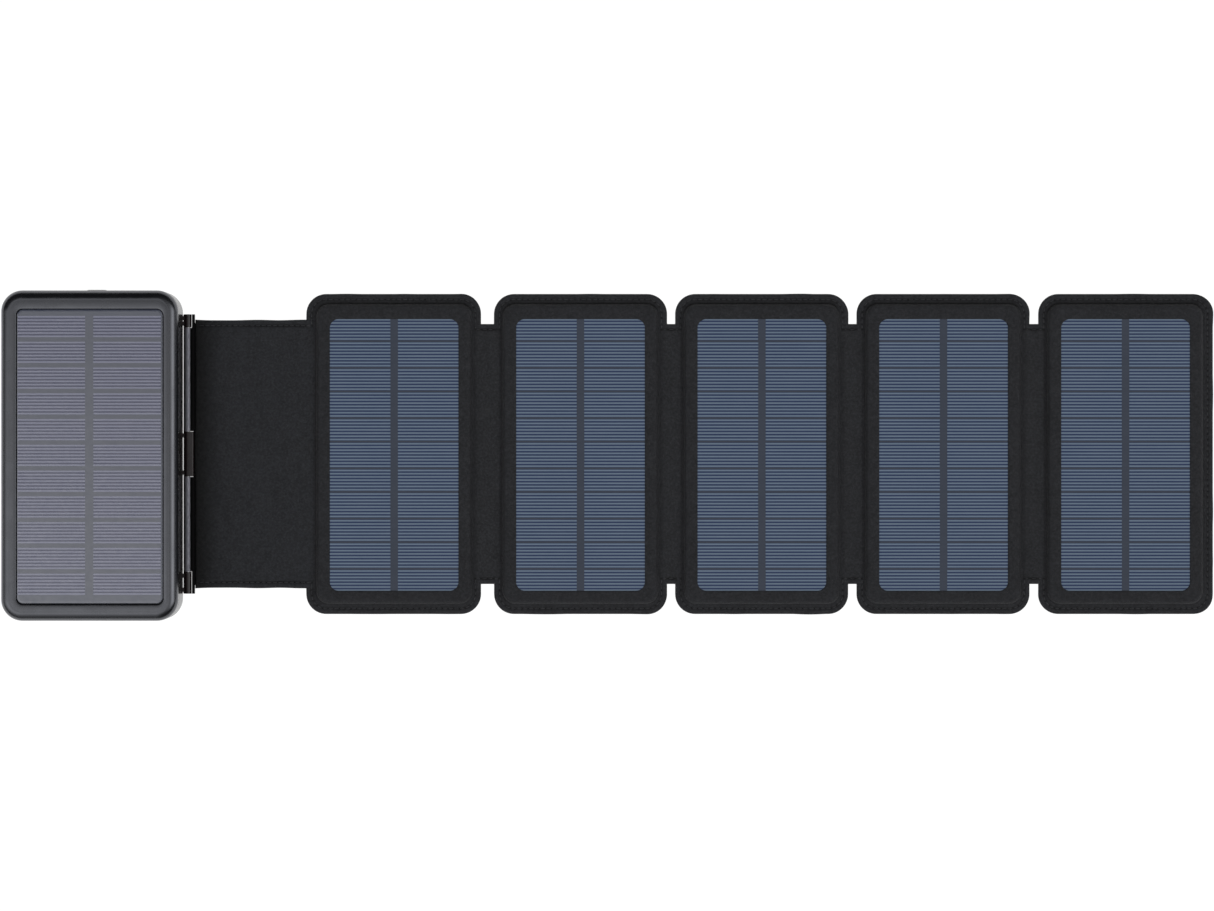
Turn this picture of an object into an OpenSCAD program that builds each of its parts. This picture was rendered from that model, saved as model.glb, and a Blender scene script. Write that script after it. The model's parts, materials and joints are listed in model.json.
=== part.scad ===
// Folding solar phone charger: a power bank with its own small solar panel,
// a hinged fabric flap on its right side, and five fabric-covered solar
// panels joined by fabric bridges. It lies open and flat, solar side up.
// Frame: origin at the centre of the footprint at table level, +X from the
// bank to the last panel, +Y to the end with the sockets, +Z up. Millimetres.

/* [Power bank] */
// Width of the bank, along X
bank_w = 82.2; // [82:0.1:83]
// Length of the bank, along Y
bank_l = 153.3; // [150:0.1:160]
// Thickness of the bank
bank_t = 24; // [24:0.5:26]
// Corner radius of the bank seen from above
bank_r = 10; // [9:0.5:12]
// Wall thickness of the two shells
bank_wall = 1.8; // [1.6:0.1:2]
// Height of the seam between rear and front shell
bank_seam = 16.6; // [16:0.1:17]
// Rounding of the front rim
bank_front_fillet = 3.6; // [1.5:0.1:3.7]
// Rounding of the rear rim
bank_rear_fillet = 2; // [1:0.1:2.4]

/* [Bank solar panel] */
// Width of the bank's own solar laminate
bank_pv_w = 67.4; // [66:0.1:68]
// Length of the bank's own solar laminate
bank_pv_l = 136; // [134:0.1:137]
// Width of one of the two columns of cells
bank_cell_w = 31.2; // [30:0.1:31.6]
// Pitch of the rows of cells
bank_cell_pitch = 11.93; // [11.5:0.01:12]

/* [Folding panels] */
// Width of a folding panel, along X
panel_w = 81.2; // [81.2:0.1:81.6]
// Length of a folding panel, along Y
panel_l = 150.2; // [148:0.1:152]
// Extra rim on the left of the first panel and the right of the last panel
end_rim = 0.8; // [0:0.1:1]
// Corner radius of a folding panel
panel_r = 9.4; // [8:0.1:11]
// Overall thickness of a folding panel
panel_t = 4; // [3.9:0.1:4.1]
// Width of the flat rim at the left and right sides
rim_x = 4; // [3.8:0.1:4.5]
// Width of the flat rim at the two ends
rim_y = 4.7; // [4.2:0.1:5]
// Width of the window in the front cover
window_w = 60.3; // [59:0.1:61]
// Length of the window in the front cover
window_l = 127.2; // [126:0.1:128]
// Length of the fabric bridges along Y
bridge_l = 122; // [110:1:126]
// Pitch of the rows of cells
panel_cell_pitch = 11.62; // [11:0.01:11.7]

/* [Flap and hinge] */
// Length of the flap along Y
flap_l = 126; // [120:1:128]
// Thickness of the flap
flap_t = 1.6; // [1.5:0.1:1.8]
// Radius of the hinge pin
pin_r = 1; // [0.9:0.05:1]
// Height of the hinge axis above the table
hinge_z = 3.2; // [3.1:0.1:3.4]
// Outer radius of the long hinge barrels
barrel_r = 1.45; // [1.4:0.05:1.5]

/* [Power button] */
// How far the button stands out of the end wall
button_proud = 0.5; // [0.3:0.1:0.8]
// Width of the button
button_w = 8.8; // [7:0.1:9]

/* [Hidden] */
$fn = 48;
// The bank sits 0.25 mm low in Y so that the outline with the button is centred.
bank_x = -282.65 + bank_w/2;
bank_y = -button_proud/2;
bank_right = bank_x + bank_w/2;
// The bank's laminate and its cells sit a little off the bank's centre.
pv_x = bank_x + 0.45;
pv_y = bank_y - 0.55;
cells_x = bank_x + 0.2;
cells_y = bank_y + 0.1;
panel_y = 0.5;
window_y = panel_y - 0.45;
panel_x0 = [-142.75, -54.65, 30.3, 115.4, 200.65];
fold_x = [-143.05, -56.55, 28.4, 113.45, 198.6];
hinge_x = -198.05;
flap_x0 = hinge_x + 3.3;
flap_x1 = fold_x[0] - 0.2;
lead_y = panel_y + 1.8;
lead_w = 8;
t_back = 0.6;
t_lead = 0.2;
board_z0 = t_back + t_lead;
board_z1 = 2.6;
lam_t = 0.8;
lam_z1 = board_z1 + lam_t;
cell_t = 0.15;
lip_z0 = lam_z1 + 0.2;
rim_t = 1.2;
pad_w = panel_w - 2*rim_x;
pad_l = panel_l - 2*rim_y;
board_w = pad_w - 1.4;
board_l = pad_l - 1.4;
lam_w = window_w + 3;
lam_l = window_l + 3.3;
pcb_z0 = 7;
pcb_z1 = 8.2;
end_y = bank_y + bank_l/2;
button_x = bank_x + 2.15;
button_z = 11.5;
boss_x = 33.5;
boss_y = 71.5;
leaf_screw_y = [-46, -20, 22, 48];

// Rectangle with round corners, centred.
module rrect(w, l, r) {
  square([w - 2*r, l], center = true);
  square([w, l - 2*r], center = true);
  for (sx = [-1, 1], sy = [-1, 1])
    translate([sx*(w/2 - r), sy*(l/2 - r)]) circle(r);
}

// Plate with round corners, from z0 to z1, centred at x, y.
module plate(x, y, w, l, r, z0, z1) {
  translate([x, y, z0]) linear_extrude(z1 - z0) rrect(w, l, r);
}

// Half profile of a slab of half width a, height h, with a bottom rounding fb
// and a top rounding ft.
module half_profile(a, h, fb, ft) {
  difference() {
    square([a, h]);
    if (fb > 0) difference() {
      translate([a - fb, -1]) square([fb + 1, fb + 1]);
      translate([a - fb, fb]) circle(fb);
    }
    if (ft > 0) difference() {
      translate([a - ft, h - ft]) square([ft + 1, ft + 1]);
      translate([a - ft, h - ft]) circle(ft);
    }
  }
}

module full_profile(a, h, fb, ft) {
  half_profile(a, h, fb, ft);
  mirror([1, 0]) half_profile(a, h, fb, ft);
}

// Box with corner radius r and rounded bottom and top rims.
module soft_box(w, l, h, r, fb, ft) {
  rotate([90, 0, 0]) translate([0, 0, -(l/2 - r)])
    linear_extrude(l - 2*r) full_profile(w/2, h, fb, ft);
  rotate([90, 0, 90]) translate([0, 0, -(w/2 - r)])
    linear_extrude(w - 2*r) full_profile(l/2, h, fb, ft);
  for (sx = [-1, 1], sy = [-1, 1])
    translate([sx*(w/2 - r), sy*(l/2 - r), 0])
      rotate_extrude() half_profile(r, h, fb, ft);
}

// Bar along Y with a slot-shaped section, w wide in X and t high in Z.
module slot_bar(x, z, w, t, y0, y1) {
  translate([x, y1, z]) rotate([90, 0, 0]) linear_extrude(y1 - y0) {
    square([w - t, t], center = true);
    for (s = [-1, 1]) translate([s*(w/2 - t/2), 0]) circle(t/2);
  }
}

// Cylinder along Y from y0 to y1.
module rod_y(x, z, r, y0, y1) {
  translate([x, y1, z]) rotate([90, 0, 0]) cylinder(h = y1 - y0, r = r);
}

// ---------------------------------------------------------------- bank

module bank_rear_shell() color([0.05, 0.05, 0.055]) difference() {
  union() {
    difference() {
      translate([bank_x, bank_y, 0])
        soft_box(bank_w, bank_l, bank_seam, bank_r, bank_rear_fillet, 0);
      plate(bank_x, bank_y, bank_w - 2*bank_wall, bank_l - 2*bank_wall,
            bank_r - bank_wall, bank_wall, bank_seam + 1);
    }
    // pads round the case screws
    for (sx = [-1, 1], sy = [-1, 1])
      translate([bank_x + sx*boss_x, bank_y + sy*boss_y, bank_wall - 0.2])
        cylinder(h = 1.6, r = 3);
    // posts under the circuit board
    for (sx = [-1, 1])
      translate([bank_x + sx*26, bank_y + 51, bank_wall - 0.2])
        cylinder(h = pcb_z0 - bank_wall + 0.2, r = 2.2);
  }
  for (sx = [-1, 1], sy = [-1, 1])
    translate([bank_x + sx*boss_x, bank_y + sy*boss_y, 0]) {
      translate([0, 0, -1]) cylinder(h = 5, r = 1.15);
      translate([0, 0, -1]) cylinder(h = 2.6, r = 2.1);
    }
  for (sx = [-1, 1])
    translate([bank_x + sx*26, bank_y + 51, 3])
      cylinder(h = 5, r = 0.85);
  // groove for the hinge rail, and holes for its screws
  translate([bank_right - 1, panel_y - 65.4, 2.2]) cube([2, 130.8, 5.8]);
  for (y = leaf_screw_y)
    translate([bank_right - 0.5, panel_y + y, 5.1])
      rotate([0, -90, 0]) cylinder(h = 3, r = 0.85);
  // openings in the end wall
  for (s = [-22.9, 23.5])
    translate([bank_x + s - 6.8, end_y - 3, pcb_z1 - 0.2])
      cube([13.6, 4, 6.2]);
  slot_bar(bank_x - 11, pcb_z1 + 1.83, 9.4, 3.7, end_y - 3, end_y + 1);
  slot_bar(button_x, button_z, button_w + 0.3, 4.6, end_y - 3, end_y + 1);
  for (i = [0:3])
    rod_y(bank_x + 9.3 + 1.9*i, button_z, 0.65, end_y - 3, end_y + 1);
}

module bank_front_shell() color([0.30, 0.30, 0.325]) difference() {
  union() {
    difference() {
      translate([bank_x, bank_y, bank_seam + 0.4])
        soft_box(bank_w, bank_l, bank_t - bank_seam - 0.4, bank_r, 0,
                 bank_front_fillet);
      plate(bank_x, bank_y, bank_w - 2*bank_wall, bank_l - 2*bank_wall,
            bank_r - bank_wall, bank_seam - 1, bank_t - 2.8);
    }
    for (sx = [-1, 1], sy = [-1, 1])
      translate([bank_x + sx*boss_x, bank_y + sy*boss_y, 3.3])
        cylinder(h = bank_t - 6, r = 2.5);
  }
  plate(pv_x, pv_y, bank_pv_w + 0.8, bank_pv_l + 0.8, 3.2,
        bank_t - 1.4, bank_t + 1);
  for (sx = [-1, 1], sy = [-1, 1])
    translate([bank_x + sx*boss_x, bank_y + sy*boss_y, 3])
      cylinder(h = 9, r = 1.04);
  // slot for the lead of the bank's own solar panel
  translate([bank_x - 3.2, bank_y + 57.5, bank_t - 4]) cube([6.4, 1.2, 4]);
}

module shell_gasket() color([0.02, 0.02, 0.02])
  translate([bank_x, bank_y, bank_seam]) linear_extrude(0.4) difference() {
    rrect(bank_w - 0.6, bank_l - 0.6, bank_r - 0.3);
    rrect(bank_w - 3, bank_l - 3, bank_r - 1.5);
  }

module bank_laminate() color([0.15, 0.16, 0.19])
  plate(pv_x, pv_y, bank_pv_w, bank_pv_l, 2.8, bank_t - 1.4, bank_t - 0.6);

module bank_cells() color([0.40, 0.41, 0.47])
  for (s = [-1, 1], i = [-5:5])
    translate([cells_x + s*(bank_cell_w/2 + 1.93) - bank_cell_w/2,
               cells_y + i*bank_cell_pitch - 4.8, bank_t - 0.6])
      cube([bank_cell_w, 9.6, cell_t]);

module pouch(z) {
  translate([bank_x - 33, bank_y - 66, z]) {
    difference() {
      translate([0, 0, 0]) cube([66, 112, 8]);
      // thin sealed flap along the two long sides
      for (x = [-1, 64.8]) translate([x, -1, 3.4]) cube([2.2, 114, 5]);
    }
  }
}
module battery_lower() color([0.70, 0.71, 0.72]) pouch(2.6);
module battery_upper() color([0.70, 0.71, 0.72]) pouch(11.6);

module foam_pads() color([0.12, 0.12, 0.13]) for (z = [[1.8, 2.6], [10.6, 11.6], [19.6, 21.2]])
  plate(bank_x, bank_y - 10, 56, 100, 2, z[0], z[1]);

module battery_leads() color([0.78, 0.60, 0.25]) for (s = [-1, 1]) {
  translate([bank_x + s*9 - 2.5, bank_y + 46, pcb_z1]) cube([5, 4.5, 0.2]);
  translate([bank_x + s*18 - 2.5, bank_y + 46, 13.4]) cube([5, 3, 0.2]);
  translate([bank_x + s*18 - 2.5, bank_y + 48.8, pcb_z1]) cube([5, 0.2, 5.3]);
}

module main_pcb() color([0.05, 0.25, 0.12]) difference() {
  translate([bank_x - 29.5, bank_y + 47.5, pcb_z0]) cube([59, 27, pcb_z1 - pcb_z0]);
  for (sx = [-1, 1])
    translate([bank_x + sx*26, bank_y + 51, pcb_z0 - 1]) cylinder(h = 4, r = 1.1);
}

module pcb_components() color([0.08, 0.08, 0.09]) translate([bank_x, bank_y, pcb_z1]) {
  // power inductors
  for (x = [-20, 12]) translate([x, 57, 0]) rrect_block(6.6, 6.6, 1.2, 3);
  // controller and charge chips
  translate([-5, 63, 0]) rrect_block(5, 5, 0.3, 0.9);
  translate([4.5, 54.5, 0]) rrect_block(4, 4, 0.3, 0.8);
  // round capacitors
  for (x = [-29 + 6, -29 + 55]) translate([x, 59.5, 0]) cylinder(h = 5, r = 2);
  // small parts
  for (i = [0:5]) translate([-13.5 + 1.9*i, 53, 0]) rrect_block(1, 1.9, 0.2, 0.6);
  for (i = [0:4]) translate([4 + 2*i, 61.8, 0]) rrect_block(1.1, 1.8, 0.2, 0.7);
  // four indicator lamps at the board's edge
  for (i = [0:3]) translate([9.3 + 1.9*i, 72.4, 0]) rrect_block(1.4, 1.4, 0.2, 2.4);
}
module rrect_block(w, l, r, h) linear_extrude(h) rrect(w, l, r);

module pcb_screws() color([0.75, 0.75, 0.75]) for (sx = [-1, 1])
  translate([bank_x + sx*26, bank_y + 51, 0]) {
    translate([0, 0, pcb_z1]) cylinder(h = 1.1, r = 1.8);
    translate([0, 0, 3.4]) cylinder(h = pcb_z1 - 3.3, r = 0.8);
  }

module usb_shells() color([0.75, 0.75, 0.76]) {
  for (s = [-22.9, 23.5]) translate([bank_x + s, end_y - 14.3, pcb_z1]) difference() {
    translate([-6.6, 0, 0]) cube([13.2, 14, 5.8]);
    translate([-6.25, 0.35, 0.34]) cube([12.5, 14, 5.12]);
  }
  difference() {
    slot_bar(bank_x - 11, pcb_z1 + 1.63, 8.94, 3.26, end_y - 7.6, end_y - 0.3);
    slot_bar(bank_x - 11, pcb_z1 + 1.63, 8.34, 2.56, end_y - 7.3, end_y);
  }
}

module usb_tongues() color([0.06, 0.06, 0.07]) {
  for (s = [-22.9, 23.5]) translate([bank_x + s, end_y - 13.95, pcb_z1 + 0.34]) {
    translate([-6.25, 0, 0]) cube([12.5, 2.6, 5.12]);
    translate([-5.55, 2.5, 2.9]) cube([11.1, 8.6, 1.84]);
  }
  slot_bar(bank_x - 11, pcb_z1 + 1.63, 8.34, 2.56, end_y - 7.3, end_y - 6);
  translate([bank_x - 11 - 3.35, end_y - 6.1, pcb_z1 + 1.28]) cube([6.7, 4.6, 0.7]);
}

module tact_switch() color([0.1, 0.1, 0.1]) difference() {
  translate([button_x - 3, bank_y + 68.4, pcb_z1]) cube([6, 4, 5.2]);
  rod_y(button_x, button_z, 1.3, bank_y + 68.9, bank_y + 73);
}

module switch_plunger() color([0.8, 0.8, 0.78])
  rod_y(button_x, button_z, 1.2, bank_y + 69.5, bank_y + 74.15);

module power_button() color([0.12, 0.12, 0.13]) {
  slot_bar(button_x, button_z, button_w, 4.3, end_y - 2, end_y + button_proud);
  slot_bar(button_x, button_z, button_w + 1.8, 5.8, bank_y + 74.2, end_y - 1.9);
}

module led_light_pipe() color([0.85, 0.88, 0.92]) {
  for (i = [0:3])
    rod_y(bank_x + 9.3 + 1.9*i, button_z, 0.55, bank_y + 74.3, end_y - 0.1);
  translate([bank_x + 8.4, bank_y + 73.6, button_z - 0.8]) cube([7.5, 0.9, 1.6]);
}

module case_screws() color([0.12, 0.12, 0.12])
  for (sx = [-1, 1], sy = [-1, 1])
    translate([bank_x + sx*boss_x, bank_y + sy*boss_y, 0]) difference() {
      union() {
        translate([0, 0, 0.5]) cylinder(h = 1.1, r = 1.9);
        translate([0, 0, 1.5]) cylinder(h = 9.5, r = 1);
      }
      // cross recess
      for (a = [0, 90]) rotate(a) translate([-1.1, -0.25, 0]) cube([2.2, 0.5, 1.1]);
    }

module bank_panel_lead() color([0.55, 0.35, 0.12]) {
  translate([bank_x - 3, bank_y + 58, pcb_z1]) cube([6, 0.2, bank_t - 1.4 - pcb_z1]);
}

// ---------------------------------------------------------------- hinge

// Ends of the three bank knuckles along Y, from the panels' centre line.
knuckles = [[59.3, 65.4], [-10.5, 10.5], [-65.4, -55.2]];
barrels = [[10.65, 59.15], [-55.05, -10.65]];
bars = [[10.65, 65.4], [-65.4, -10.65]];

// Block with a flat top and rounded right edges, joined to a round left side.
module wide_knuckle(y0, y1) {
  rod_y(hinge_x, hinge_z, 1.8, y0, y1);
  translate([hinge_x, y0, hinge_z - 1.8]) cube([2.2, y1 - y0, 3.6]);
  translate([hinge_x, y0, hinge_z - 1.1]) cube([2.9, y1 - y0, 2.2]);
  for (s = [-1, 1]) rod_y(hinge_x + 2.2, hinge_z + s*1.1, 0.7, y0, y1);
}

module bank_hinge_leaf() color([0.07, 0.07, 0.075]) difference() {
  union() {
    // rail, flush with the bank's side wall
    translate([bank_right - 1, panel_y - 65.4, 2.2]) cube([1, 130.8, 5.8]);
    for (i = [0:2]) {
      y0 = panel_y + knuckles[i][0];
      y1 = panel_y + knuckles[i][1];
      if (i == 1) wide_knuckle(y0, y1);
      else rod_y(hinge_x, hinge_z, 1.8, y0, y1);
      // short webs to the rail
      for (y = [y0 + 0.8, y1 - 2.8]) translate([bank_right - 0.5, y, hinge_z - 1])
        cube([hinge_x - bank_right + 0.5, 2, 2]);
    }
    // lip under the barrels, from the first knuckle to the last
    translate([bank_right + 0.18, panel_y - 65.4, hinge_z - 2.4])
      cube([hinge_x - 0.4 - bank_right - 0.18, 130.8, 0.75]);
  }
  rod_y(hinge_x, hinge_z, pin_r + 0.03, panel_y - 70, panel_y + 70);
  for (y = leaf_screw_y)
    translate([bank_right - 0.3, panel_y + y, 5.1])
      rotate([0, -90, 0]) cylinder(h = 3, r = 0.8);
}

module hinge_screws() color([0.5, 0.5, 0.5]) for (y = leaf_screw_y)
  translate([bank_right - 0.35, panel_y + y, 5.1]) rotate([0, -90, 0]) {
    cylinder(h = 1.5, r = 0.75);
    translate([0, 0, 1.45]) cylinder(h = 0.7, r = 1.5);
  }

module hinge_pin() color([0.7, 0.7, 0.7])
  rod_y(hinge_x, hinge_z, pin_r, panel_y - 65.2, panel_y + 65.2);

module hinge_barrels() color([0.55, 0.55, 0.56]) for (b = barrels) difference() {
  rod_y(hinge_x, hinge_z, barrel_r, panel_y + b[0], panel_y + b[1]);
  rod_y(hinge_x, hinge_z, pin_r + 0.06, panel_y + b[0] - 1, panel_y + b[1] + 1);
}

module flap_hinge_leaf() color([0.06, 0.06, 0.065]) difference() {
  union() {
    // bar along the whole flap
    for (e = bars) translate([hinge_x + 2.1, panel_y + e[0], hinge_z - 1.4])
      cube([flap_x0 - 0.04 - hinge_x - 2.1, e[1] - e[0], 2.8]);
    // cradles that hold the barrels
    for (b = barrels)
      translate([hinge_x + 1.3, panel_y + b[0], hinge_z - 0.8])
        cube([1.05, b[1] - b[0], 1.6]);
    // step down to the tongue, and the tongue inside the flap
    translate([hinge_x + 2.4, panel_y - 61.5, 0.7]) cube([0.7, 123, 2]);
    translate([hinge_x + 2.4, panel_y - 61.5, 0.7]) cube([6.7, 123, 0.5]);
  }
  for (b = barrels) rod_y(hinge_x, hinge_z, barrel_r + 0.01, panel_y + b[0] - 0.1, panel_y + b[1] + 0.1);
  // room for the wide middle knuckle
  translate([hinge_x + 1, panel_y - 10.65, hinge_z - 2.1]) cube([2.14, 21.3, 4.2]);
  // gap for the lead
  translate([flap_x0 + 0.02, lead_y - 4.4, 0]) cube([7, 8.8, 1.5]);
}

// ---------------------------------------------------------------- flap

module flap_back_cover() color([0.15, 0.155, 0.17])
  translate([flap_x0, panel_y - flap_l/2, 0]) cube([flap_x1 - flap_x0, flap_l, 0.7]);

module flap_front_cover() color([0.16, 0.165, 0.18]) difference() {
  translate([flap_x0, panel_y - flap_l/2, 0.7])
    cube([flap_x1 - flap_x0, flap_l, flap_t - 0.7]);
  translate([flap_x0 - 1, panel_y - 61.7, 0.6]) cube([7, 123.4, 0.65]);
  translate([flap_x0 - 1, lead_y - lead_w/2 - 0.2, 0.6])
    cube([flap_x1 - flap_x0 + 2, lead_w + 0.4, 0.35]);
}

module flap_lead() color([0.6, 0.4, 0.15])
  translate([flap_x0 + 0.1, lead_y - lead_w/2, 0.7])
    cube([flap_x1 - flap_x0 - 0.2, lead_w, t_lead]);

// ---------------------------------------------------------------- panels

// Left and right ends of the fabric of panel i, with its halves of the bridges.
function tab_l(i) = i == 0 ? panel_x0[0] : fold_x[i] + 0.2;
function tab_r(i) = i == 4 ? panel_x0[4] + full_w(4) : fold_x[i + 1] - 0.2;
// Width of the outline, and centre of the raised part.
function full_w(i) = panel_w + (i == 0 || i == 4 ? end_rim : 0);
function panel_xc(i) = panel_x0[i] + panel_w/2 + (i == 0 ? end_rim : 0);

module panel_outline(i) {
  translate([panel_x0[i] + full_w(i)/2, panel_y]) rrect(full_w(i), panel_l, panel_r);
  translate([tab_l(i), panel_y - bridge_l/2])
    square([tab_r(i) - tab_l(i), bridge_l]);
}

module back_cover(i) color([0.15, 0.155, 0.165])
  linear_extrude(t_back) panel_outline(i);

module board(i) color([0.75, 0.72, 0.6])
  plate(panel_xc(i), panel_y, board_w, board_l, 5.3, board_z0, board_z1);

module laminate(i) color([0.16, 0.18, 0.22])
  plate(panel_xc(i), window_y, lam_w, lam_l, 3, board_z1, lam_z1);

module cells(i) color([0.26, 0.30, 0.38])
  for (s = [-1, 1], k = [-5:5])
    translate([panel_xc(i) + s*(1.75 + 14.35) - 14.35,
               window_y + k*panel_cell_pitch - 5.56, lam_z1])
      cube([28.7, 11.12, cell_t]);

module front_cover(i) color([0.17, 0.175, 0.19]) difference() {
  union() {
    translate([0, 0, t_back]) linear_extrude(rim_t - t_back) panel_outline(i);
    plate(panel_xc(i), panel_y, pad_w, pad_l, 6, rim_t - 0.2, panel_t);
  }
  plate(panel_xc(i), panel_y, board_w + 0.2, board_l + 0.2, 5.4, 0, board_z1 + 0.05);
  plate(panel_xc(i), window_y, lam_w + 0.2, lam_l + 0.2, 3.1, board_z1 - 0.5, lip_z0);
  plate(panel_xc(i), window_y, window_w, window_l, 4.1, lip_z0 - 0.5, panel_t + 1);
  translate([tab_l(i) - 1, lead_y - lead_w/2 - 0.2, 0])
    cube([tab_r(i) - tab_l(i) + 2, lead_w + 0.4, board_z0 + 0.05]);
}

module lead(i) color([0.6, 0.4, 0.15])
  translate([tab_l(i) + 0.1, lead_y - lead_w/2, t_back])
    cube([(i == 4 ? panel_xc(4) : tab_r(i)) - tab_l(i) - 0.2, lead_w, t_lead]);

module panel_1_back_cover() back_cover(0);
module panel_1_board() board(0);
module panel_1_laminate() laminate(0);
module panel_1_cells() cells(0);
module panel_1_front_cover() front_cover(0);
module panel_1_lead() lead(0);
module panel_2_back_cover() back_cover(1);
module panel_2_board() board(1);
module panel_2_laminate() laminate(1);
module panel_2_cells() cells(1);
module panel_2_front_cover() front_cover(1);
module panel_2_lead() lead(1);
module panel_3_back_cover() back_cover(2);
module panel_3_board() board(2);
module panel_3_laminate() laminate(2);
module panel_3_cells() cells(2);
module panel_3_front_cover() front_cover(2);
module panel_3_lead() lead(2);
module panel_4_back_cover() back_cover(3);
module panel_4_board() board(3);
module panel_4_laminate() laminate(3);
module panel_4_cells() cells(3);
module panel_4_front_cover() front_cover(3);
module panel_4_lead() lead(3);
module panel_5_back_cover() back_cover(4);
module panel_5_board() board(4);
module panel_5_laminate() laminate(4);
module panel_5_cells() cells(4);
module panel_5_front_cover() front_cover(4);
module panel_5_lead() lead(4);

bank_rear_shell();
bank_front_shell();
shell_gasket();
bank_laminate();
bank_cells();
battery_lower();
battery_upper();
foam_pads();
battery_leads();
main_pcb();
pcb_components();
pcb_screws();
usb_shells();
usb_tongues();
tact_switch();
switch_plunger();
power_button();
led_light_pipe();
case_screws();
bank_panel_lead();
bank_hinge_leaf();
hinge_screws();
hinge_pin();
hinge_barrels();
flap_hinge_leaf();
flap_back_cover();
flap_front_cover();
flap_lead();
panel_1_back_cover();
panel_1_board();
panel_1_laminate();
panel_1_cells();
panel_1_front_cover();
panel_1_lead();
panel_2_back_cover();
panel_2_board();
panel_2_laminate();
panel_2_cells();
panel_2_front_cover();
panel_2_lead();
panel_3_back_cover();
panel_3_board();
panel_3_laminate();
panel_3_cells();
panel_3_front_cover();
panel_3_lead();
panel_4_back_cover();
panel_4_board();
panel_4_laminate();
panel_4_cells();
panel_4_front_cover();
panel_4_lead();
panel_5_back_cover();
panel_5_board();
panel_5_laminate();
panel_5_cells();
panel_5_front_cover();
panel_5_lead();
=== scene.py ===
import json
import math

import bmesh
import bpy
import numpy as np
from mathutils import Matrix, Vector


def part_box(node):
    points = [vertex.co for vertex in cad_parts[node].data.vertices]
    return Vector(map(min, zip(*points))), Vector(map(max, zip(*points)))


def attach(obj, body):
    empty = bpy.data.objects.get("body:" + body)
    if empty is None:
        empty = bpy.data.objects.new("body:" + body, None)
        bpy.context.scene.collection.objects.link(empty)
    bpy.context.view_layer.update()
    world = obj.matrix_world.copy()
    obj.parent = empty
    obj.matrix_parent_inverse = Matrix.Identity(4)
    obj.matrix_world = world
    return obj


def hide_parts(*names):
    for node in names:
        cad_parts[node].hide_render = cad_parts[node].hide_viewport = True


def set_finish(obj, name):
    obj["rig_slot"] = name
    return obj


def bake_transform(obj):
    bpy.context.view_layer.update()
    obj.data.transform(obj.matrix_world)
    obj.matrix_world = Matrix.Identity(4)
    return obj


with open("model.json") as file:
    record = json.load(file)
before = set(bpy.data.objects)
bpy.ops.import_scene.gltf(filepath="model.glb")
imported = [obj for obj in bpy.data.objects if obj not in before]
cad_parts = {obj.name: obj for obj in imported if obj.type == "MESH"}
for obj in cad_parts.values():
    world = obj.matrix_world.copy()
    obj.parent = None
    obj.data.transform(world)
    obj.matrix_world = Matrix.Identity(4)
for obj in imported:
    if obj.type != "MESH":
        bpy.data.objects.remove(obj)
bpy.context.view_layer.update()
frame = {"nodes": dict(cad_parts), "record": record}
MM = 0.001
TAU = 2 * math.pi
SLOT = {s["node"]: s["material_slot"] for s in frame["record"]["subparts"]}


# ------------------------------------------------------------------ camera and stage

scene = bpy.context.scene
scene.view_settings.view_transform = "Standard"
scene.view_settings.look = "None"

cam_data = bpy.data.cameras.new("camera")
cam_data.lens = 107.4
cam_data.sensor_width = 36
cam_data.clip_end = 20
cam = bpy.data.objects.new("camera", cam_data)
cam.location = (-0.00165, -0.0002, 1.7)
scene.collection.objects.link(cam)
scene.camera = cam


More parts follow.
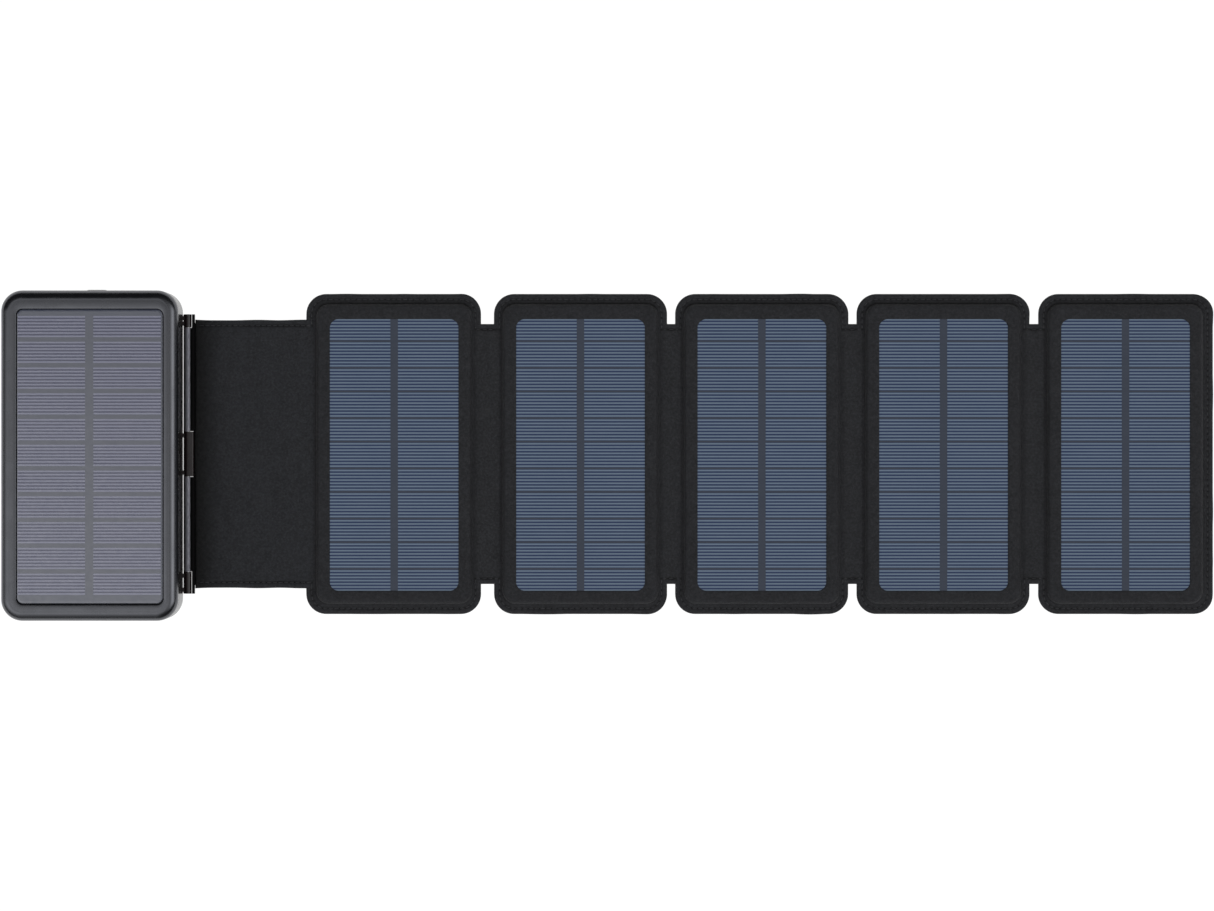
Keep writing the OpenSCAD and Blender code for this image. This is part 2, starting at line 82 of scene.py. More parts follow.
def studio():
    """A sky painted with a wide softbox overhead, which ends just past the zenith, and a tall one to the right."""
    world = bpy.data.worlds.new("studio")
    scene.world = world
    world.use_nodes = True
    nt = world.node_tree
    new, link = nt.nodes.new, nt.links.new
    co = new("ShaderNodeTexCoord")
    xyz = new("ShaderNodeSeparateXYZ")
    link(co.outputs["Generated"], xyz.inputs[0])

    def ramp(axis, stops):
        """Brightness along the angle from the zenith towards +X or +Y, in degrees."""
        at = new("ShaderNodeMath")
        at.operation = "ARCTAN2"
        link(xyz.outputs[axis], at.inputs[0])
        link(xyz.outputs["Z"], at.inputs[1])
        mr = new("ShaderNodeMapRange")
        mr.inputs["From Min"].default_value = -math.pi
        mr.inputs["From Max"].default_value = math.pi
        link(at.outputs[0], mr.inputs["Value"])
        cr = new("ShaderNodeValToRGB")
        e = cr.color_ramp.elements
        while len(e) < len(stops):
            e.new(0.5)
        for el, (deg, v) in zip(e, stops):
            el.position = (deg + 180) / 360
            el.color = (v, v, v, 1)
        link(mr.outputs["Result"], cr.inputs["Fac"])
        return cr.outputs["Color"]

    def times(a, b, k):
        n = new("ShaderNodeMath")
        n.operation = "MULTIPLY"
        link(a, n.inputs[0])
        link(b, n.inputs[1])
        m = new("ShaderNodeMath")
        m.operation = "MULTIPLY"
        link(n.outputs[0], m.inputs[0])
        m.inputs[1].default_value = k
        return m.outputs[0]

    wide = times(
        ramp("X", [(-90, 0.02), (-75, 0.3), (-62, 0.55), (-44, 0.9), (-38, 1), (-13, 1), (-7, 0.9), (-3, 0.5), (2, 0.42), (8, 0.12), (16, 0)]),
        ramp("Y", [(-80, 0.12), (-60, 0.2), (-48, 0.35), (-34, 0.7), (-20, 0.95), (-3, 1), (2.2, 0.6), (3.6, 0.34), (6, 0.12), (10, 0.03), (16, 0)]), SOFTBOX)
    side = times(
        ramp("X", [(-2, 0), (4, 0.15), (11, 0.26), (20, 0.3), (28, 0.46), (38, 0.86), (46, 1), (58, 1), (68, 0.55), (78, 0.15), (88, 0.02), (96, 0)]),
        ramp("Y", [(-45, 0), (-30, 0.4), (-14, 1), (10, 1), (20, 0.5), (32, 0.02), (50, 0)]), STRIP)
    add = new("ShaderNodeMath")
    link(wide, add.inputs[0])
    link(side, add.inputs[1])
    amb = new("ShaderNodeMath")
    link(add.outputs[0], amb.inputs[0])
    amb.inputs[1].default_value = AMBIENT
    bg = nt.nodes["Background"]
    bg.inputs[0].default_value = (0.985, 0.99, 1.0, 1)
    link(amb.outputs[0], bg.inputs[1])


SOFTBOX, STRIP, AMBIENT = 1.9, 2.7, 0.03
studio()


# ------------------------------------------------------------------ materials

class Mat:
    """A principled material with procedural nodes. Coordinates are in millimetres."""

    def __init__(self, name, color, rough, metal=0.0, spec=0.5, coat=0.0, coat_rough=0.08, sheen=0.0, ior=1.5, reflex=None):
        self.m = bpy.data.materials.new(name)
        self.m.use_nodes = True
        self.nt = self.m.node_tree
        self.b = self.nt.nodes["Principled BSDF"]
        self.b.inputs["Base Color"].default_value = (*color, 1)
        self.b.inputs["Roughness"].default_value = rough
        self.b.inputs["Metallic"].default_value = metal
        self.b.inputs["Specular IOR Level"].default_value = spec
        self.b.inputs["Coat Weight"].default_value = coat
        self.b.inputs["Coat Roughness"].default_value = coat_rough
        self.b.inputs["Sheen Weight"].default_value = sheen
        self.b.inputs["Sheen Roughness"].default_value = 0.45
        self.b.inputs["IOR"].default_value = ior
        if reflex:
            self.b.inputs["Specular Tint"].default_value = (*reflex, 1)
        self.color, self.rough = color, rough
        tc = self.nt.nodes.new("ShaderNodeTexCoord")
        mp = self.nt.nodes.new("ShaderNodeMapping")
        mp.inputs["Scale"].default_value = (1000, 1000, 1000)
        self.nt.links.new(tc.outputs["Object"], mp.inputs["Vector"])
        self.mm = mp.outputs["Vector"]
        self.height = None

    def node(self, kind, **kw):
        n = self.nt.nodes.new(kind)
        for k, v in kw.items():
            if k.startswith("_"):
                n.inputs[k[1:]].default_value = v
            else:
                setattr(n, k, v)
        return n

    def link(self, a, b):
        self.nt.links.new(a, b)

    def scaled(self, sx, sy, sz, rot=0.0):
        n = self.node("ShaderNodeMapping")
        n.inputs["Scale"].default_value = (sx, sy, sz)
        n.inputs["Rotation"].default_value = (0, 0, rot)
        self.link(self.mm, n.inputs["Vector"])
        return n.outputs["Vector"]

    def noise(self, scale, detail=3, rough=0.5, vec=None, lo=0.0, hi=1.0):
        """Noise with features of 1/scale mm, stretched so that lo and hi are its usual ends."""
        n = self.node("ShaderNodeTexNoise", _Scale=scale, _Detail=detail, _Roughness=rough)
        self.link(vec or self.mm, n.inputs["Vector"])
        r = self.node("ShaderNodeMapRange")
        for k, v in (("From Min", 0.3), ("From Max", 0.7), ("To Min", lo), ("To Max", hi)):
            r.inputs[k].default_value = v
        self.link(n.outputs["Fac"], r.inputs["Value"])
        return r.outputs["Result"]

    def math(self, op, a, b=None, clamp=False):
        n = self.node("ShaderNodeMath", operation=op, use_clamp=clamp)
        for i, x in enumerate((a, b)):
            if x is None:
                continue
            if isinstance(x, (int, float)):
                n.inputs[i].default_value = x
            else:
                self.link(x, n.inputs[i])
        return n.outputs[0]

    def grime(self):
        """The mesh attribute of painted shade, 1 where the painted shade is deepest: in seams, creases and grooves,
        and near the hinge in the bank's shadow.
        """
        return self.node("ShaderNodeAttribute", attribute_name="grime").outputs["Fac"]

    def xyz(self):
        s = self.node("ShaderNodeSeparateXYZ")
        self.link(self.mm, s.inputs[0])
        return s.outputs

    def weave(self, pitch):
        """Height of a plain weave, 0 to 1."""
        x, y, z = self.xyz()
        u = self.math("ADD", x, z)
        sx = self.math("SINE", self.math("MULTIPLY", u, math.pi / pitch))
        sy = self.math("SINE", self.math("MULTIPLY", y, math.pi / pitch))
        sx, sy = self.math("ABSOLUTE", sx), self.math("ABSOLUTE", sy)
        over = self.math("SINE", self.math("MULTIPLY", self.math("ADD", u, y), math.pi / pitch))
        over = self.math("ADD", self.math("MULTIPLY", over, 0.5), 0.5)
        a = self.math("MULTIPLY", sx, over)
        b = self.math("MULTIPLY", sy, self.math("SUBTRACT", 1.0, over))
        return self.math("ADD", a, b)

    def tint(self, fac, other):
        """Base colour goes from the material's own colour to other as fac goes 0 to 1."""
        mix = self.node("ShaderNodeMix", data_type="RGBA", clamp_factor=True)
        sock = self.b.inputs["Base Color"]
        if sock.is_linked:
            self.link(sock.links[0].from_socket, mix.inputs[6])
        else:
            mix.inputs[6].default_value = sock.default_value
        mix.inputs[7].default_value = (*other, 1)
        self.link(fac, mix.inputs[0])
        self.link(mix.outputs[2], sock)
        return self

    def roughness(self, fac, lo, hi):
        r = self.node("ShaderNodeMapRange")
        for k, v in (("From Min", 0.0), ("From Max", 1.0), ("To Min", lo), ("To Max", hi)):
            r.inputs[k].default_value = v
        self.link(fac, r.inputs["Value"])
        self.link(r.outputs["Result"], self.b.inputs["Roughness"])
        return self

    def bump(self, height, depth_mm, strength=1.0):
        n = self.node("ShaderNodeBump", _Strength=strength, _Distance=depth_mm * MM)
        self.link(height, n.inputs["Height"])
        sock = self.b.inputs["Normal"]
        if sock.is_linked:
            self.link(sock.links[0].from_socket, n.inputs["Normal"])
        self.link(n.outputs["Normal"], sock)
        return self


def fabric(name, color, pale, pitch=0.42, sheen=0.12, streak=False):
    m = Mat(name, color, 0.72, spec=0.32, sheen=sheen)
    w = m.weave(pitch)
    mott = m.noise(0.55, 4, 0.6)
    big = m.noise(0.09, 3, 0.55)
    if streak:
        big = m.noise(1.0, 3, 0.6, vec=m.scaled(0.16, 0.03, 0.1))
    m.tint(m.math("MULTIPLY", mott, 0.5), pale)
    m.tint(m.math("MULTIPLY", big, 0.55 if streak else 0.45), pale)
    m.tint(m.math("MULTIPLY", m.noise(0.2, 3, 0.6, lo=-0.3, hi=1.1), 0.35), tuple(c * 0.62 for c in color))
    m.tint(m.math("MULTIPLY", m.noise(1.5, 4, 0.75), 0.5), tuple(c * 0.45 for c in color))
    m.tint(m.math("MULTIPLY", m.noise(0.9, 5, 0.75, lo=-0.6, hi=1.2), 0.55), tuple(c * 1.5 for c in pale))
    m.tint(m.math("MULTIPLY", m.math("SUBTRACT", 1.0, w), 0.35), tuple(c * 0.35 for c in color))
    # painted shade: darkens the cloth by the mesh attribute of painted shade, in seams, creases, grooves and the
    # bank's shadow
    m.tint(m.grime(), tuple(c * 0.09 for c in color))
    m.roughness(mott, 0.58, 0.82)
    m.bump(w, 0.07, 0.7)
    m.bump(m.noise(1.1, 4, 0.62), 0.16, 0.9)
    return m


def moulded(name, color, rough, pale=None, grain=0.012, spec=0.5, coat=0.0, dust=0.25, ior=1.5, reflex=None):
    m = Mat(name, color, rough, spec=spec, coat=coat, ior=ior, reflex=reflex)
    fine = m.noise(6.0, 4, 0.6)
    cloud = m.noise(0.12, 4, 0.6)
    m.tint(m.math("MULTIPLY", cloud, dust), pale or tuple(min(1, c * 1.7 + 0.004) for c in color))
    m.tint(m.math("MULTIPLY", fine, 0.15), tuple(c * 0.6 for c in color))
    m.roughness(cloud, rough * 0.85, min(1.0, rough * 1.25))
    m.bump(fine, grain, 0.6)
    return m


def metal(name, color, rough, stretch=(1, 1, 1)):
    m = Mat(name, color, rough, metal=1.0)
    brush = m.noise(3.0, 4, 0.7, vec=m.scaled(*stretch))
    cloud = m.noise(0.3, 3, 0.5)
    m.tint(m.math("MULTIPLY", brush, 0.5), tuple(c * 0.72 for c in color))
    m.tint(m.math("MULTIPLY", cloud, 0.3), tuple(min(1, c * 1.12) for c in color))
    m.roughness(brush, rough * 0.8, min(1.0, rough * 1.35))
    m.bump(brush, 0.01, 0.5)
    return m


M = {}
M["fabric_front"] = fabric("panel_fabric", (0.0155, 0.0160, 0.0184), (0.034, 0.035, 0.040))
M["flap_fabric"] = fabric("flap_fabric", (0.0150, 0.0158, 0.0185), (0.034, 0.036, 0.042), 0.36, 0.10, streak=True)
M["fabric_back"] = fabric("back_fabric", (0.0150, 0.0152, 0.0165), (0.030, 0.030, 0.033), 0.5, 0.10)
M["bridge_fabric"] = fabric("bridge_fabric", (0.0160, 0.0166, 0.0188), (0.035, 0.036, 0.041))

t = Mat("thread", (0.014, 0.014, 0.016), 0.40, spec=0.5)
ply = t.node("ShaderNodeTexWave", _Scale=1.6, _Distortion=1.0)
t.link(t.mm, ply.inputs["Vector"])
t.tint(ply.outputs["Fac"], (0.052, 0.052, 0.058))
t.bump(ply.outputs["Fac"], 0.05, 0.8)
M["thread"] = t

M["grey_bezel"] = moulded("front_shell_plastic", (0.0040, 0.0042, 0.0052), 0.24, grain=0.004, dust=0.3, spec=0.9, ior=1.6, reflex=(0.90, 0.92, 1.0))
M["gloss_black_shell"] = moulded("rear_shell_plastic", (0.0050, 0.0044, 0.0046), 0.24, grain=0.001, dust=0.3, spec=0.9)
M["seal_rubber"] = moulded("seal_rubber", (0.012, 0.012, 0.012), 0.8, grain=0.02)
M["button_black"] = moulded("button_plastic", (0.030, 0.030, 0.032), 0.42, grain=0.01)
M["hinge_black"] = moulded("hinge_plastic", (0.0090, 0.0036, 0.0042), 0.26, grain=0.006, spec=0.4)
M["hinge_bar"] = moulded("hinge_bar_plastic", (0.0030, 0.0030, 0.0033), 0.55, grain=0.02, spec=0.06)
M["chip_black"] = moulded("chip_plastic", (0.03, 0.03, 0.032), 0.6, grain=0.015)
M["white_plastic"] = moulded("plunger_plastic", (0.66, 0.66, 0.63), 0.4)
M["light_pipe_clear"] = moulded("light_pipe", (0.55, 0.58, 0.62), 0.18)
M["foam"] = moulded("foam", (0.03, 0.03, 0.033), 0.95, grain=0.12)
M["satin_grey"] = metal("barrel_grey", (0.40, 0.40, 0.44), 0.7, (1, 0.15, 1))
M["screw_steel"] = metal("screw_steel", (0.62, 0.62, 0.62), 0.3)
M["socket_steel"] = metal("socket_steel", (0.66, 0.66, 0.68), 0.22, (1, 0.2, 1))
M["screw_black"] = metal("screw_black", (0.07, 0.07, 0.072), 0.38)
M["lead_metal"] = metal("lead_copper", (0.72, 0.46, 0.28), 0.32, (0.1, 1, 1))
M["pouch_foil"] = metal("pouch_foil", (0.72, 0.73, 0.74), 0.38)

b = Mat("board_sheet", (0.42, 0.38, 0.26), 0.7)
b.tint(b.weave(1.2), (0.34, 0.30, 0.20))
b.tint(b.math("MULTIPLY", b.noise(0.2, 3), 0.4), (0.5, 0.47, 0.36))
b.bump(b.noise(2.0, 3), 0.02)
M["board_sheet"] = b

p = Mat("circuit_board", (0.012, 0.085, 0.032), 0.35, coat=0.3)
trace = p.node("ShaderNodeTexBrick", _Scale=0.35)
p.link(p.mm, trace.inputs["Vector"])
p.tint(p.math("MULTIPLY", trace.outputs["Fac"], 0.7), (0.03, 0.16, 0.06))
p.tint(p.math("MULTIPLY", p.noise(0.5, 2), 0.4), (0.008, 0.06, 0.025))
p.bump(trace.outputs["Fac"], 0.02)
M["circuit_board"] = p


def film(name, color, pale, rough, spec, grain=0.004, var=0.5, ior=1.5):
    m = Mat(name, color, rough, spec=spec, ior=ior)
    streaks = m.noise(1.0, 4, 0.62, vec=m.scaled(0.05, 0.9, 0.2))
    cloud = m.noise(0.05, 3, 0.5)
    m.tint(m.math("MULTIPLY", streaks, var), pale)
    m.tint(m.math("MULTIPLY", cloud, var * 0.6), pale)
    m.roughness(m.noise(0.4, 3), rough * 0.85, min(1.0, rough * 1.2))
    m.bump(m.noise(2.2, 3, 0.6), grain, 0.7)
    return m


M["pv_sheet"] = film("panel_film", (0.040, 0.051, 0.077), (0.053, 0.066, 0.097), 0.40, 0.35)
M["panel_cells"] = film("panel_cell", (0.014, 0.033, 0.097), (0.028, 0.048, 0.118), 0.40, 0.35)
M["panel_lines"] = film("panel_fingers", (0.150, 0.212, 0.304), (0.190, 0.250, 0.335), 0.40, 0.35)
M["bank_pv_sheet"] = film("bank_film", (0.052, 0.060, 0.094), (0.068, 0.076, 0.112), 0.22, 1.0, ior=1.58)
M["bank_cells"] = film("bank_cell", (0.008, 0.012, 0.070), (0.022, 0.024, 0.090), 0.22, 1.0, ior=1.58)
M["bank_lines"] = film("bank_fingers", (0.192, 0.202, 0.298), (0.235, 0.240, 0.335), 0.22, 1.0, ior=1.58)


def dress(o, *names):
    o.data.materials.clear()
    for n in names:
        o.data.materials.append(M[n].m)


for name, o in frame["nodes"].items():
    dress(o, "hinge_bar" if name == "flap_hinge_leaf" else SLOT[name])


# ------------------------------------------------------------------ mesh tools (all in mm)

def wob(x, y, seed, long_x, long_y, amp, n=14):
    """Smooth random height of about amp, with waves of these lengths in mm."""
    g = np.random.default_rng(seed)
    out = np.zeros(np.broadcast(x, y).shape)
    for _ in range(n):
        fx = g.choice([-1, 1]) / g.uniform(*long_x)
        fy = g.choice([-1, 1]) / g.uniform(*long_y)
        out = out + np.sin(TAU * (fx * x + fy * y) + g.uniform(0, TAU))
    return out * amp / math.sqrt(n / 2)


def build(name, V, F, mats, index=None, weld=0.0, smooth=True, flip=False, grime=None):
    V = np.asarray(V, float) * MM
    F = [tuple(int(i) for i in f) for f in F]
    if flip:
        F = [f[::-1] for f in F]
    me = bpy.data.meshes.new(name)
    me.from_pydata(V.tolist(), [], F)
    for n in mats:
        me.materials.append(M[n].m)
    if index is not None:
        me.polygons.foreach_set("material_index", np.asarray(index, np.int32))
    # stores the painted shade per point, which the fabric materials read
    if grime is not None:
        me.attributes.new("grime", "FLOAT", "POINT").data.foreach_set("value", np.asarray(grime, np.float32).ravel())
    if weld:
        bm = bmesh.new()
        bm.from_mesh(me)
        bmesh.ops.remove_doubles(bm, verts=bm.verts, dist=weld * MM)
        bmesh.ops.dissolve_degenerate(bm, edges=bm.edges, dist=1e-9)
        bm.to_mesh(me)
        bm.free()
    me.polygons.foreach_set("use_smooth", np.full(len(me.polygons), smooth))
    me.validate()
    o = bpy.data.objects.new(name, me)
    scene.collection.objects.link(o)
    return o


def rr(w, l, r, nx=2, ny=2, nc=16):
    """Outline of a rectangle with round corners, anticlockwise from the low end of its right side."""
    hw, hl = w / 2, l / 2
    r = max(r, 0.05)
    a = np.linspace(0, math.pi / 2, nc, endpoint=False)
    ys, xs = np.linspace(-(hl - r), hl - r, ny, endpoint=False), np.linspace(hw - r, -(hw - r), nx, endpoint=False)

    def corner(cx, cy, start):
        return np.c_[cx + r * np.cos(a + start), cy + r * np.sin(a + start)]

    return np.vstack([
        np.c_[np.full(ny, hw), ys], corner(hw - r, hl - r, 0),
        np.c_[xs, np.full(nx, hl)], corner(-(hw - r), hl - r, math.pi / 2),
        np.c_[np.full(ny, -hw), -ys], corner(-(hw - r), -(hl - r), math.pi),
        np.c_[-xs, np.full(nx, -hl)], corner(hw - r, -(hl - r), 1.5 * math.pi),
    ])


def ring_faces(n, rows, base=0):
    i = np.arange(rows - 1)[:, None] * n + base
    j = np.arange(n)[None, :]
    k = (j + 1) % n
    return np.stack([i + j, i + k, i + n + k, i + n + j], -1).reshape(-1, 4).tolist()


def loft(rows, cx=0.0, cy=0.0, nx=2, ny=2, nc=16):
    """Points of a stack of round-cornered outlines, each (w, l, r, z)."""
    out = []
    for w, l, r, z in rows:
        q = rr(w, l, r, nx, ny, nc)
        out.append(np.c_[q[:, 0] + cx, q[:, 1] + cy, np.full(len(q), z)])
    return np.array(out)


def capsules(centres, tangents, normals, length=2.0, r=0.17, dip=0.17, sides=6):
    """Little arched threads, one for each centre."""
    ts = np.array([-1, -0.86, -0.5, 0, 0.5, 0.86, 1])
    rs = np.array([0.35, 0.8, 1, 1, 1, 0.8, 0.35]) * r
    V, F = [], []
    n_sec = len(ts)
    for c, t_, n_ in zip(centres, tangents, normals):
        t_, n_ = t_ / np.linalg.norm(t_), n_ / np.linalg.norm(n_)
        s_ = np.cross(n_, t_)
        base = len(V)
        for q, rad in zip(ts, rs):
            mid = c + t_ * q * length / 2 - n_ * dip * q * q
            for k in range(sides):
                a = TAU * k / sides
                V.append(mid + s_ * rad * math.cos(a) * 1.15 + n_ * rad * math.sin(a))
        for i in range(n_sec - 1):
            for k in range(sides):
                k2 = (k + 1) % sides
                F.append((base + i * sides + k, base + i * sides + k2, base + (i + 1) * sides + k2, base + (i + 1) * sides + k))
        F.append(tuple(base + k for k in range(sides))[::-1])
        F.append(tuple(base + (n_sec - 1) * sides + k for k in range(sides)))
    return V, F


def along(path, spacing, start=0.0, jitter=0.0, seed=1):
    """Points and tangents at even spacing along an open path."""
    path = np.asarray(path, float)
    d = np.r_[0, np.cumsum(np.linalg.norm(np.diff(path, axis=0), axis=1))]
    n = max(1, int(round((d[-1] - 2 * start) / spacing)))
    s = start + (np.arange(n) + 0.5) * (d[-1] - 2 * start) / n
    s = s + np.random.default_rng(seed).uniform(-jitter, jitter, n)
    at = np.stack([np.interp(s, d, path[:, k]) for k in range(path.shape[1])], 1)
    ahead = np.stack([np.interp(s + 0.05, d, path[:, k]) for k in range(path.shape[1])], 1)
    back = np.stack([np.interp(s - 0.05, d, path[:, k]) for k in range(path.shape[1])], 1)
    return at, ahead - back


def centre(node):
    lo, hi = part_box(node)
    return (lo.x + hi.x) / 2 / MM, (lo.y + hi.y) / 2 / MM


# ------------------------------------------------------------------ folding panels

W, L, R = 81.2, 150.2, 9.4
PY = centre("panel_1_board")[1]
PX = [centre(f"panel_{i}_board")[0] for i in range(1, 6)]
EXTRA_L = [0.8, 0, 0, 0, 0]  # wider rim where the flap joins
EXTRA_R = [0, 0, 0, 0, 0.8]  # and at the far end
WINDOW_DY = centre("panel_1_laminate")[1] - PY
EDGE_A = [x - W / 2 - e for x, e in zip(PX, EXTRA_L)]
EDGE_B = [x + W / 2 + e for x, e in zip(PX, EXTRA_R)]
BR = 61.0  # half length of the bridges
STITCH = 2.6  # how far the seam runs inside the edge
PITCH = 2.7
CREASE = 3.65
NX, NY, NC = 84, 150, 18
up = np.array([0, 0, 1.0])
# painted shade by inset from the panel's edge in mm: darkest in the groove inside the seam, where shade falls
PAINTED_SHADE_BY_INSET = ([3.6, 4.5, 5.2, 5.9, 6.6, 7.3, 7.8, 8.1, 8.6, 9.2, 10.2], [0, 0.25, 0.6, 0.35, 0.4, 0.7, 0.95, 0.95, 0.75, 0.35, 0])

FRONT = [  # w, l, r, z and how far the cloth may wave there
    (-0.30, -0.30, 9.25, 0.62, 0.0), (0.0, 0.0, 9.4, 0.78, 0.0), (-0.06, -0.06, 9.37, 0.98, 0.1),
    (-0.34, -0.34, 9.23, 1.16, 0.3), (-1.0, -1.0, 8.9, 1.28, 0.6), (-2.2, -2.2, 8.3, 1.33, 0.8),
    (-3.6, -3.6, 7.6, 1.31, 0.8), (-4.5, -4.5, 7.15, 1.20, 0.5), (-5.2, -5.2, 6.8, 1.08, 0.3),
    (-5.9, -5.9, 6.45, 1.20, 0.4), (-6.6, -7.0, 6.2, 1.28, 0.5), (-7.3, -8.3, 6.1, 1.17, 0.3),
    (-7.8, -9.2, 6.0, 1.30, 0.2), (-8.1, -9.7, 5.9, 1.72, 0.2), (-8.6, -10.2, 5.8, 2.55, 0.2),
    (-9.2, -10.8, 5.6, 3.28, 0.3), (-10.2, -11.8, 5.3, 3.72, 0.5), (-11.8, -13.4, 5.0, 3.90, 0.8),
    (-14.0, -15.8, 4.8, 3.95, 1.0), (-17.0, -19.0, 4.5, 3.94, 0.9), (-19.5, -21.6, 4.25, 3.92, 0.5),
    (-20.4, -22.5, 4.15, 3.86, 0.2), (-20.82, -22.92, 4.1, 3.74, 0.0), (-20.9, -23.0, 4.1, 3.60, 0.0),
]
BACK = [
    (-0.30, -0.30, 9.25, 0.60, 0), (-0.02, -0.02, 9.4, 0.42, 0), (-0.22, -0.22, 9.3, 0.20, 0),
    (-0.8, -0.8, 9.0, 0.08, 0), (-2.0, -2.0, 8.4, 0.04, 0), (-4.3, -4.3, 7.3, 0.05, 0), (-4.8, -4.8, 7.0, 0.20, 0),
    (-5.2, -5.2, 6.8, 0.26, 0), (-5.6, -5.6, 6.6, 0.20, 0), (-6.2, -6.2, 6.4, 0.05, 0), (-8.0, -8.0, 6.0, 0.05, 0),
    (-12, -12, 5.6, 0.10, 1), (-20, -20, 5.0, 0.11, 1), (-32, -32, 4.5, 0.12, 1), (-46, -46, 4, 0.12, 1),
    (-60, -60, 3.5, 0.12, 1), (-72, -72, 3, 0.12, 1), (-80.0, -80.0, 0.3, 0.12, 1),
]


def fit(P, i, rim, window):
    """Moves the outline points P of panel i by its wider rim and its window's place, each from 0 to 1."""
    x = P[:, 0] - PX[i]
    P[:, 0] += np.where(x < 0, -EXTRA_L[i], EXTRA_R[i]) * rim
    P[:, 1] += WINDOW_DY * window


def seam_runs(i):
    """The seam of panel i as open runs: it stops where a bridge or the flap joins the panel."""
    q = rr(W - 2 * STITCH, L - 2 * STITCH, R - STITCH, 40, 80, 24)
    stop = BR - 0.3
    left = True  # the flap or a bridge joins every panel on its left
    right = i < 4
    keep = np.ones(len(q), bool)
    if left:
        keep &= ~((q[:, 0] < -(W / 2 - STITCH) + 0.4) & (abs(q[:, 1]) < stop))
    if right:
        keep &= ~((q[:, 0] > (W / 2 - STITCH) - 0.4) & (abs(q[:, 1]) < stop))
    runs, n = [], len(q)
    first = next((j for j in range(n) if keep[j] and not keep[j - 1]), 0)
    run = []
    for k in range(n):
        j = (first + k) % n
        if keep[j]:
            run.append(q[j])
        elif run:
            runs.append(np.array(run))
            run = []
    if run:
        runs.append(np.array(run))
    return runs


def panel(i):
    n = i + 1
    body = f"panel_{n}"
    cx, cy = PX[i], PY
    pts = loft([(W + a, L + c, r, z) for a, c, r, z, _ in FRONT], cx, cy, NX, NY, NC)
    for k, row in enumerate(FRONT):
        fit(pts[k], i, np.interp(-row[0], [6.0, 7.6], [1, 0]), np.interp(-row[0], [11, 20.4], [0, 1]))
    at, tan, holes = [], [], []
    for run in seam_runs(i):
        run = run + [cx, cy]
        fit(run, i, 1, 0)
        c, d = along(np.c_[run, np.full(len(run), 1.21)], PITCH, 0.3, 0.08, i)
        at.append(c), tan.append(d), holes.append((c[1:] + c[:-1]) / 2)
    at, tan, holes = np.vstack(at), np.vstack(tan), np.vstack(holes)
    pucker = np.zeros(pts.shape[:2])
    for k, (_, _, _, _, free) in enumerate(FRONT):
        x, y = pts[k, :, 0], pts[k, :, 1]
        pts[k, :, 2] += wob(x, y, 40 + i, (9, 30), (12, 45), 0.055) * free
        if 3 < k < 12:
            far = np.sqrt(((pts[k, :, None, :2] - holes[None, :, :2]) ** 2).sum(-1)).min(1)
            pucker[k] = np.exp(-((far / 0.62) ** 2))
            pts[k, :, 2] -= 0.13 * pucker[k]
        if k < 8:  # the sewn edge isn't quite straight
            inner = loft([(W - 12, L - 12, 4, 0)], cx, cy, NX, NY, NC)[0]
            out = pts[k, :, :2] - inner[:, :2]
            out /= np.linalg.norm(out, axis=1)[:, None]
            pts[k, :, :2] += out * (wob(x, y, 70 + i, (20, 60), (20, 60), 0.09) - 0.08)[:, None]
    F = ring_faces(pts.shape[1], pts.shape[0])
    V = pts.reshape(-1, 3)
    away = np.clip((V[:, 1] - cy) / (L / 2), -1, 1)  # painted shade: strongest in the top groove, which faces away from the light, less at the sides, next to none at the low end
    side = np.interp(away, [-1, -0.93, -0.86, 0.86, 0.93, 1], [0.1, 0.1, 0.25, 0.25, 0.95, 0.95])
    # painted shade is weaker at the right edge, whose slope faces the light from the right
    side *= np.interp(V[:, 0] - cx, [W / 2 - 6, W / 2 - 5], [1, 0.4])
    # painted shade across the rim by inset, and in the dimples at the stitch holes
    shade_paint = np.repeat(np.interp([-row[0] for row in FRONT], *PAINTED_SHADE_BY_INSET), pts.shape[1]) * side
    shade_paint = np.maximum(shade_paint, 0.85 * pucker.ravel())
    front = build(f"panel_{n}_front_fabric", V, F, ["fabric_front"], grime=shade_paint)
    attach(front, body)
    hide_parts(f"panel_{n}_front_cover")
    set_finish(front, "fabric_front")
    SV, SF = capsules(at, tan, np.tile(up, (len(at), 1)))
    low = at.copy()
    low[:, 2] = 0.185
    BV, BF = capsules(low, tan, np.tile(-up, (len(at), 1)), r=0.14, dip=0.05)
    off = len(SV)
    SV, SF = SV + BV, SF + [tuple(q + off for q in f) for f in BF]
    thread = build(f"panel_{n}_stitching", SV, SF, ["thread"])
    thread.parent = front
    thread["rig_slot"] = "fabric_front"

    pts = loft([(W + a, L + c, r, z) for a, c, r, z, _ in BACK], cx, cy, NX, NY, NC)
    for k, row in enumerate(BACK):
        fit(pts[k], i, np.interp(-row[0], [6, 70], [1, 0.1]), 0)
        x, y = pts[k, :, 0], pts[k, :, 1]
        pts[k, :, 2] += np.clip(wob(x, y, 90 + i, (14, 40), (14, 40), 0.04), -0.07, 0.3) * row[4]
    F = ring_faces(pts.shape[1], pts.shape[0])
    m = pts.shape[1]
    F.append(tuple(range((pts.shape[0] - 1) * m, pts.shape[0] * m)))
    back = build(f"panel_{n}_back_fabric", pts.reshape(-1, 3), F, ["fabric_back"], flip=True)
    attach(back, body)
    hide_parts(f"panel_{n}_back_cover")
    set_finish(back, "fabric_back")
    return front


LINE, PITCH_Y = 0.74, 1.50


